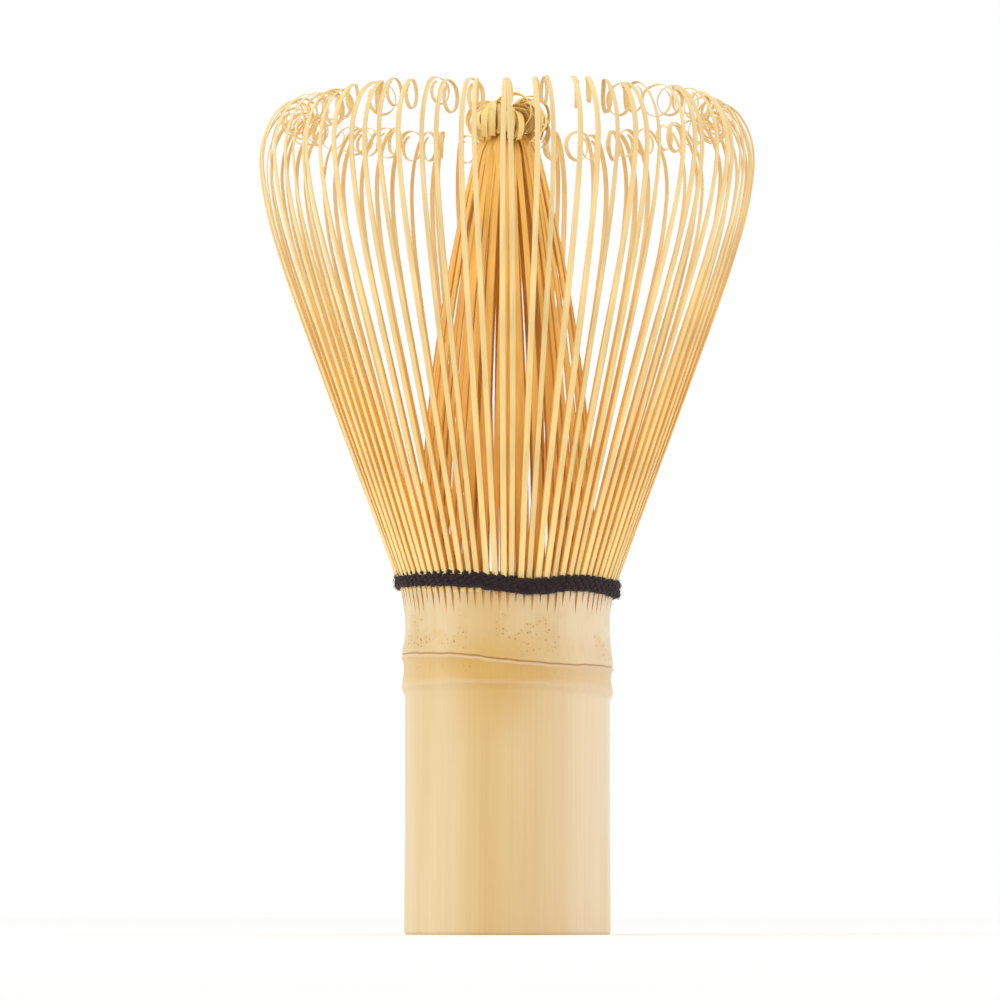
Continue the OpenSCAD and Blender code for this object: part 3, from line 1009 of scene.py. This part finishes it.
def thread_tree():
    """Pairs of strands that pass by turns before and behind the teeth, with loose fibres standing off."""
    tree, given = new_tree("Woven Thread", THREAD_INPUTS)
    strands = fold(tree, MATH, "MULTIPLY", given["Courses"], 2)
    sides = fold(tree, MATH, "MULTIPLY", given["Teeth"], 6)
    ring = add(tree, "GeometryNodeCurvePrimitiveCircle", {"Resolution": sides})
    rings, strand = numbered_copies(tree, ring, strands, "strand")
    course = add(tree, MATH, {0: fold(tree, MATH, "MULTIPLY", strand, 0.5)}, operation="FLOOR")
    azimuth = fold(tree, MATH, "MULTIPLY", add(tree, "GeometryNodeSplineParameter", out="Factor"), TAU)
    # The two strands of a course pass each tooth on opposite sides, and the next course starts a little on.
    phase = sum_of_products(tree, (azimuth, given["Teeth"], 0.5), (strand, math.pi), (course, 0.9))
    rise, in_out, east, north = (
        add(tree, MATH, {0: value}, operation=kind)
        for kind, value in (("SINE", phase), ("COSINE", phase), ("COSINE", azimuth), ("SINE", azimuth))
    )
    # The band wanders up and down round the whisk, and each strand wanders a little in the band.
    lifted = add(tree, "ShaderNodeCombineXYZ", {2: fold(tree, MATH, "MULTIPLY", strand, 3.1)})
    spot = fold(tree, VECTOR, "ADD", add(tree, "GeometryNodeInputPosition"), lifted)
    noise = add(tree, "ShaderNodeTexNoise", {"Vector": spot, "Scale": 12.0, "Detail": 2.0}, out="Color")
    loose = fold(tree, VECTOR, "SUBTRACT", noise, (0.5, 0.5, 0.5))
    loose = add(tree, "ShaderNodeSeparateXYZ", {0: loose}, out=None).outputs
    turn = fold(tree, MATH, "MULTIPLY", azimuth, 1 / TAU)
    drift = add(tree, "ShaderNodeFloatCurve", {"Value": turn}, out=None)
    points = drift.mapping.curves[0].points
    for index, (share, level) in enumerate(BAND_DRIFT):
        point = points[index] if index < 2 else points.new(share, level)
        point.location = (share, level)
    drift.mapping.update()
    drift = fold(tree, MATH, "MULTIPLY", fold(tree, MATH, "ADD", drift.outputs[0], -0.5), 2 * MM)
    middle = sum_of_products(tree, (given["Courses"], -0.5), (0.5,), (course,))
    height = sum_of_products(
        tree, (given["Middle"],), (middle, given["Course Height"]), (drift,),
        (rise, given["Course Height"], 0.2), (loose[2], 0.7 * MM),
    )
    reach = sum_of_products(tree, (given["Radius"],), (in_out, given["Weave"]), (loose[0], 0.45 * MM))
    x, y = (fold(tree, MATH, "MULTIPLY", reach, share) for share in (east, north))
    bent = add(tree, "ShaderNodeCombineXYZ", {0: x, 1: y, 2: height})
    rings = add(tree, "GeometryNodeSetPosition", {"Geometry": rings, "Position": bent})
    section = {"Resolution": 6, "Radius": given["Strand Radius"]}
    section = add(tree, "GeometryNodeCurvePrimitiveCircle", section)
    yarn = add(tree, "GeometryNodeCurveToMesh", {"Curve": rings, "Profile Curve": section})
    yarn = add(tree, "GeometryNodeSetShadeSmooth", {0: yarn})
    # Loose fibres stand all over the yarn, most of them lying near it.
    area = fold(tree, MATH, "MULTIPLY", given["Radius"], given["Strand Radius"], strands, TAU * TAU)
    density = fold(tree, MATH, "DIVIDE", given["Fuzz"], area)
    many = {"Mesh": yarn, "Seed": given["Seed"], "Density": density}
    many = add(tree, "GeometryNodeDistributePointsOnFaces", many, out=None).outputs
    lean = {0: (-0.5, -0.5, -math.pi), 1: (0.5, 0.5, math.pi), "Seed": 3}
    lean = add(tree, "FunctionNodeRandomValue", lean, data_type="FLOAT_VECTOR")
    turned = add(tree, "FunctionNodeRotateRotation", {0: many["Rotation"], 1: lean}, rotation_space="LOCAL")
    size = add(tree, "FunctionNodeRandomValue", {2: 0.4, 3: 1.3, "Seed": 4}, out=1, data_type="FLOAT")
    fuzz = add(tree, "GeometryNodeInstanceOnPoints", {
        "Points": many["Points"], "Instance": hair_shape(tree), "Rotation": turned, "Scale": size,
    })
    fuzz = add(tree, "GeometryNodeRealizeInstances", {0: fuzz})
    joined = add(tree, "GeometryNodeJoinGeometry", out=None)
    for part in (yarn, fuzz):
        tree.links.new(part, joined.inputs[0])
    return close_tree(tree, joined.outputs[0], given["Material"])


class WHISK_OT_thread(bpy.types.Operator):
    """Weave the dark cotton thread round the roots of the outer tines"""

    bl_idname = "whisk.thread"
    bl_label = "Thread"

    def execute(self, context):
        settings = context.scene.whisk_thread
        course = settings.height / settings.courses
        seat = new_object("thread_seat", bpy.data.meshes.new("thread_seat"))
        thread = grown(seat, "woven_thread", thread_tree(), {
            "Courses": settings.courses, "Teeth": context.scene.whisk_tines.count, "Radius": settings.radius,
            "Middle": settings.middle, "Course Height": course, "Weave": WEAVE_REACH,
            "Strand Radius": course * STRAND_SHARE, "Fuzz": settings.fuzz, "Seed": settings.seed,
            "Material": cotton_material(settings),
        })
        bpy.data.objects.remove(seat)
        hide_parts("binding_thread")
        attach(thread, "culm")
        return {"FINISHED"}


# Stage


class WHISK_OT_stage(bpy.types.Operator):
    """Set the floor, the white surroundings, the soft lights and the camera"""

    bl_idname = "whisk.stage"
    bl_label = "Stage"

    def execute(self, context):
        settings = context.scene.whisk_stage
        spokes, reach = 64, 1.6
        turns = [TAU * k / spokes for k in range(spokes)]
        rim = [(reach * math.cos(turn), reach * math.sin(turn), 0.0) for turn in turns]
        mesh = bpy.data.meshes.new("floor")
        mesh.from_pydata(rim, [], [tuple(range(spokes))])
        floor = new_object("floor", mesh, floor_material())
        world = bpy.data.worlds.new("soft_white")
        world.use_nodes = True
        world.node_tree.nodes["Background"].inputs[0].default_value = (1.0, 1.0, 1.0, 1.0)
        world.node_tree.nodes["Background"].inputs[1].default_value = settings.world
        context.scene.world = world
        for name, place, size, power in (
            ("key", (-0.5, -0.15, 0.3), 0.35, settings.key),
            ("fill", (0.5, -0.1, 0.2), 0.35, settings.fill),
        ):
            light = bpy.data.lights.new(name, "AREA")
            light.size = size
            light.energy = power
            lamp = bpy.data.objects.new(name, light)
            lamp.location = place
            aim = np.array([0, 0, LIGHT_AIM_Z]) - np.array(place)
            flat = math.hypot(aim[0], aim[1])
            lamp.rotation_euler = (math.atan2(flat, -aim[2]), 0, math.atan2(aim[1], aim[0]) - math.pi / 2)
            context.scene.collection.objects.link(lamp)
        camera = bpy.data.cameras.new("camera")
        camera.lens = settings.lens
        camera.clip_start = 0.01
        view = bpy.data.objects.new("camera", camera)
        side_shift = -0.96 * MM
        view.location = (side_shift, -settings.distance, settings.height)
        view.rotation_euler = (math.pi / 2 + settings.tilt, 0, 0)
        context.scene.collection.objects.link(view)
        context.scene.camera = view
        context.scene.view_settings.view_transform = "Standard"
        return {"FINISHED"}


class WHISK_PT_panel(bpy.types.Panel):
    """Lists the pieces of the whisk"""

    bl_idname = "WHISK_PT_panel"
    bl_label = "Bamboo Tea Whisk"
    bl_space_type = "VIEW_3D"
    bl_region_type = "UI"
    bl_category = "Whisk"

    def draw(self, context):
        for operator, settings in zip(OPERATORS, (
            "whisk_culm", None, "whisk_tines", "whisk_core", "whisk_thread", "whisk_stage"
        )):
            self.layout.operator(operator.bl_idname)
            if settings:
                group = getattr(context.scene, settings)
                for name in group.bl_rna.properties.keys():
                    if name not in ("rna_type", "name"):
                        self.layout.prop(group, name)


SETTINGS = {
    "whisk_culm": WhiskCulmSettings,
    "whisk_tines": WhiskTineSettings,
    "whisk_core": WhiskCoreSettings,
    "whisk_thread": WhiskThreadSettings,
    "whisk_stage": WhiskStageSettings,
}
OPERATORS = (
    WHISK_OT_culm, WHISK_OT_node_wall, WHISK_OT_outer_tines, WHISK_OT_inner_core, WHISK_OT_thread,
    WHISK_OT_stage,
)


def register():
    for name, group in SETTINGS.items():
        bpy.utils.register_class(group)
        setattr(bpy.types.Scene, name, PointerProperty(type=group))
    for operator in OPERATORS:
        bpy.utils.register_class(operator)
    bpy.utils.register_class(WHISK_PT_panel)


def unregister():
    bpy.utils.unregister_class(WHISK_PT_panel)
    for operator in reversed(OPERATORS):
        bpy.utils.unregister_class(operator)
    for name, group in SETTINGS.items():
        delattr(bpy.types.Scene, name)
        bpy.utils.unregister_class(group)


def main():
    register()
    bpy.ops.whisk.culm()
    bpy.ops.whisk.node_wall()
    bpy.ops.whisk.outer_tines()
    bpy.ops.whisk.inner_core()
    bpy.ops.whisk.thread()
    bpy.ops.whisk.stage()


if __name__ == "__main__":
    main()
